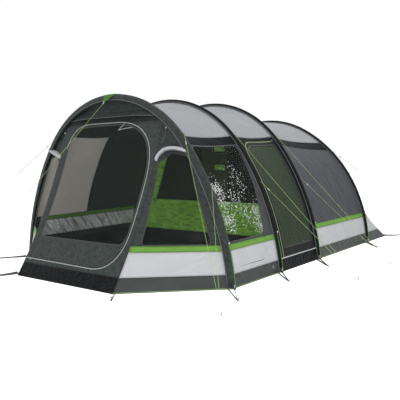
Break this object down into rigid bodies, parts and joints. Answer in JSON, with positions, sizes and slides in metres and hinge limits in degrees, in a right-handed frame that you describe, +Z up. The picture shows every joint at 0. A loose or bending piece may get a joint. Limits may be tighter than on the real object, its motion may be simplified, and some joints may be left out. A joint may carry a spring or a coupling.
{
  "type": "tunnel tent",
  "caption": "Family tunnel tent with hoop poles in sleeves, a sloping front with a window door, a side door, an inner bedroom, a groundsheet, ground pegs and taut guy lines.",
  "frame": {"origin": "on the ground, at the middle of the pitched tent's plan without its guy lines", "axes": "+X towards the right-hand side of the tent, the side with the side door, seen by someone in front of the tent who looks at the front door, +Y from the front door to the rear, +Z up"},
  "size_m": [4.95, 6.526, 2.0153],
  "materials": {
    "pole": "wound glass fibre, satin black",
    "cup": "moulded black nylon",
    "grey_cloth": "coated polyester, mid grey",
    "light_cloth": "coated polyester, light grey",
    "dark_cloth": "coated polyester, charcoal",
    "black_cloth": "coated polyester, black",
    "green_cloth": "coated polyester, lime green",
    "blind_cloth": "light polyester, beige grey",
    "film": "clear flexible film",
    "groundsheet": "laid polyethylene, black",
    "inner_cloth": "breathable polyester, dark grey",
    "mesh": "fine insect mesh, black",
    "webbing": "woven webbing, black",
    "green_webbing": "woven webbing, lime green",
    "peg_steel": "zinc-plated wire",
    "zip_metal": "black enamel",
    "guy_cord": "braided polyester, lime with white fleck",
    "runner": "moulded black nylon"
  },
  "bodies": {
    "tent": {"door_rain_flap": "grey_cloth", "foot_straps": "webbing", "front_gable": "grey_cloth", "front_wall": "grey_cloth", "ground_pegs": "peg_steel", "groundsheet": "groundsheet", "guy_line_front": "guy_cord", "guy_line_front_left": "guy_cord", "guy_line_front_right": "guy_cord", "guy_line_rear_right": "guy_cord", "guy_line_second_right": "guy_cord", "guy_line_third_right": "guy_cord", "guy_loops": "green_webbing", "guy_pegs": "peg_steel", "hoop_pole_front": "pole", "hoop_pole_rear": "pole", "hoop_pole_second": "pole", "hoop_pole_third": "pole", "inner_tent": "inner_cloth", "inner_tent_mesh": "mesh", "light_bands": "light_cloth", "mud_flaps": "dark_cloth", "organiser_pockets": "green_cloth", "pole_foot_cups": "cup", "pole_sleeve_front": "grey_cloth", "pole_sleeve_rear": "black_cloth", "pole_sleeve_second": "black_cloth", "pole_sleeve_third": "black_cloth", "rear_wall": "grey_cloth", "roof_bedroom": "grey_cloth", "roof_front_bay": "grey_cloth", "roof_middle_bay": "grey_cloth", "side_door_sill": "dark_cloth", "side_wall_bedroom_left": "grey_cloth", "side_wall_bedroom_right": "grey_cloth", "side_wall_front_left": "dark_cloth", "side_wall_front_right": "dark_cloth", "side_wall_middle_left": "dark_cloth", "side_wall_middle_right": "dark_cloth", "side_window_left": "film", "side_window_right": "film", "trim_stripes": "green_cloth", "vent_hoods": "light_cloth", "window_blind_left": "blind_cloth", "wing_left": "dark_cloth", "wing_right": "dark_cloth", "wing_window_left": "film", "wing_window_right": "film"},
    "front_door": {"front_door": "grey_cloth", "front_door_window": "film"},
    "side_door": {"side_door": "dark_cloth", "side_door_window": "film"},
    "front_zip_slider": {"front_zip_slider": "zip_metal"},
    "side_zip_slider": {"side_zip_slider": "zip_metal"},
    "guy_runner_front": {"guy_runner_front": "runner"},
    "guy_runner_front_right": {"guy_runner_front_right": "runner"},
    "guy_runner_second_right": {"guy_runner_second_right": "runner"},
    "guy_runner_third_right": {"guy_runner_third_right": "runner"},
    "guy_runner_rear_right": {"guy_runner_rear_right": "runner"},
    "guy_runner_front_left": {"guy_runner_front_left": "runner"}
  },
  "joints": [
    {"name": "front_door_swing", "type": "hinge", "parent": "tent", "child": "front_door", "pos_m": [-0.69975, -2.32813, 0.187], "axis": [0, -0.425, -0.9052], "range_deg": [0, 16]},
    {"name": "side_door_swing", "type": "hinge", "parent": "tent", "child": "side_door", "pos_m": [1.43908, 0.11975, 0.8], "axis": [-0.3816, 0, 0.9243], "range_deg": [0, 85]},
    {"name": "front_zip_slide", "type": "slide", "parent": "tent", "child": "front_zip_slider", "axis": [1, 0, 0], "range_m": [0, 1]},
    {"name": "side_zip_slide", "type": "slide", "parent": "tent", "child": "side_zip_slider", "axis": [0, -1, 0], "range_m": [0, 0.45]},
    {"name": "guy_runner_front_slide", "type": "slide", "parent": "tent", "child": "guy_runner_front", "axis": [0.0018, -0.7411, -0.6713], "range_m": [-0.05, 0.25]},
    {"name": "guy_runner_front_right_slide", "type": "slide", "parent": "tent", "child": "guy_runner_front_right", "axis": [0.5179, -0.4105, -0.7506], "range_m": [-0.05, 0.25]},
    {"name": "guy_runner_second_right_slide", "type": "slide", "parent": "tent", "child": "guy_runner_second_right", "axis": [0.7472, 0.0471, -0.6629], "range_m": [-0.05, 0.25]},
    {"name": "guy_runner_third_right_slide", "type": "slide", "parent": "tent", "child": "guy_runner_third_right", "axis": [0.7471, 0.0505, -0.6628], "range_m": [-0.05, 0.25]},
    {"name": "guy_runner_rear_right_slide", "type": "slide", "parent": "tent", "child": "guy_runner_rear_right", "axis": [0.6613, 0.4156, -0.6245], "range_m": [-0.05, 0.25]},
    {"name": "guy_runner_front_left_slide", "type": "slide", "parent": "tent", "child": "guy_runner_front_left", "axis": [-0.5806, -0.48, -0.6576], "range_m": [-0.05, 0.25]}
  ]
}
